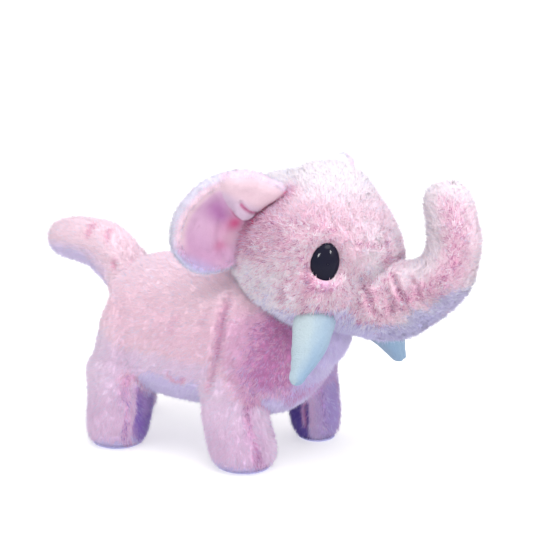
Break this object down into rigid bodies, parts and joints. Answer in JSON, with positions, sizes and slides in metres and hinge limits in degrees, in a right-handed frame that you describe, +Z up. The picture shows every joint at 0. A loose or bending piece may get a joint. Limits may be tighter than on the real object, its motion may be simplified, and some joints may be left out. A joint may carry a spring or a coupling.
{
  "type": "stuffed elephant",
  "caption": "Soft stuffed elephant standing on short legs, with a raised trunk, raised tail, floppy ears, felt tusks and button eyes.",
  "frame": {"origin": "middle of the toy's footprint box, on the surface it stands on", "axes": "+Z up, -Y the way the toy faces, +X its left side; the length from trunk to tail runs along Y"},
  "size_m": [0.1531, 0.3012, 0.1907],
  "materials": {
    "pile": "short soft pile, sewn skin",
    "lining": "smooth short velour",
    "felt": "brushed felt",
    "fibre": "loose fibre filling, packed",
    "eye": "polished, domed",
    "washer": "moulded"
  },
  "bodies": {
    "torso": {"torso_skin": "pile", "torso_stuffing": "fibre"},
    "neck": {"neck_collar": "pile"},
    "head": {"head_skin": "pile", "head_stuffing": "fibre", "eye_right": "eye", "eye_left": "eye", "eye_washer_right": "washer", "eye_washer_left": "washer", "tusk_right": "felt", "tusk_left": "felt", "tusk_right_stuffing": "fibre", "tusk_left_stuffing": "fibre"},
    "ear_right": {"ear_right": "pile", "ear_right_lining": "lining"},
    "ear_left": {"ear_left": "pile", "ear_left_lining": "lining"},
    "trunk_base": {"trunk_base_skin": "pile", "trunk_base_stuffing": "fibre"},
    "trunk_tip": {"trunk_tip_skin": "pile", "trunk_tip_stuffing": "fibre"},
    "tail": {"tail_skin": "pile", "tail_stuffing": "fibre"},
    "leg_front_right": {"leg_front_right_skin": "pile", "leg_front_right_stuffing": "fibre", "leg_front_right_sole": "pile"},
    "leg_rear_right": {"leg_rear_right_skin": "pile", "leg_rear_right_stuffing": "fibre", "leg_rear_right_sole": "pile"},
    "leg_front_left": {"leg_front_left_skin": "pile", "leg_front_left_stuffing": "fibre", "leg_front_left_sole": "pile"},
    "leg_rear_left": {"leg_rear_left_skin": "pile", "leg_rear_left_stuffing": "fibre", "leg_rear_left_sole": "pile"}
  },
  "joints": [
    {"name": "head_turn", "type": "hinge", "parent": "torso", "child": "neck", "pos_m": [-0.0055, -0.0436, 0.138], "axis": [0, 0, 1], "range_deg": [-15, 10], "stiffness_Nm_per_rad": 0.5},
    {"name": "head_nod", "type": "hinge", "parent": "neck", "child": "head", "pos_m": [-0.0055, -0.0436, 0.138], "axis": [-0.9907, 0.0867, 0.1045], "range_deg": [-8, 3], "stiffness_Nm_per_rad": 0.8},
    {"name": "ear_right_swing", "type": "hinge", "parent": "head", "child": "ear_right", "pos_m": [-0.03937, -0.02156, 0.15507], "axis": [-0.0661, 0.5429, -0.8372], "range_deg": [-10, 10], "stiffness_Nm_per_rad": 0.1},
    {"name": "ear_left_swing", "type": "hinge", "parent": "head", "child": "ear_left", "pos_m": [0.03444, -0.02802, 0.14728], "axis": [0.0165, -0.5386, 0.8424], "range_deg": [-10, 10], "stiffness_Nm_per_rad": 0.1},
    {"name": "trunk_lift", "type": "hinge", "parent": "head", "child": "trunk_base", "pos_m": [-0.01181, -0.0822, 0.11015], "axis": [-0.9907, 0.0867, 0.1045], "range_deg": [-20, 8], "stiffness_Nm_per_rad": 0.4},
    {"name": "trunk_curl", "type": "hinge", "parent": "trunk_base", "child": "trunk_tip", "pos_m": [-0.01317, -0.13307, 0.13949], "axis": [-0.9907, 0.0867, 0.1045], "range_deg": [-20, 20], "stiffness_Nm_per_rad": 0.15},
    {"name": "tail_wag", "type": "hinge", "parent": "torso", "child": "tail", "pos_m": [-0.0055, 0.0904, 0.104], "axis": [0, 0, 1], "range_deg": [-10, 10], "stiffness_Nm_per_rad": 0.12},
    {"name": "leg_front_right_swing", "type": "hinge", "parent": "torso", "child": "leg_front_right", "pos_m": [-0.0365, -0.0101, 0.056], "axis": [-1, 0, 0], "range_deg": [-10, 10], "stiffness_Nm_per_rad": 0.5},
    {"name": "leg_rear_right_swing", "type": "hinge", "parent": "torso", "child": "leg_rear_right", "pos_m": [-0.0365, 0.0774, 0.056], "axis": [-1, 0, 0], "range_deg": [-10, 10], "stiffness_Nm_per_rad": 0.5},
    {"name": "leg_front_left_swing", "type": "hinge", "parent": "torso", "child": "leg_front_left", "pos_m": [0.0255, -0.0296, 0.056], "axis": [-1, 0, 0], "range_deg": [-10, 10], "stiffness_Nm_per_rad": 0.5},
    {"name": "leg_rear_left_swing", "type": "hinge", "parent": "torso", "child": "leg_rear_left", "pos_m": [0.0215, 0.0984, 0.056], "axis": [-1, 0, 0], "range_deg": [-10, 10], "stiffness_Nm_per_rad": 0.5}
  ]
}
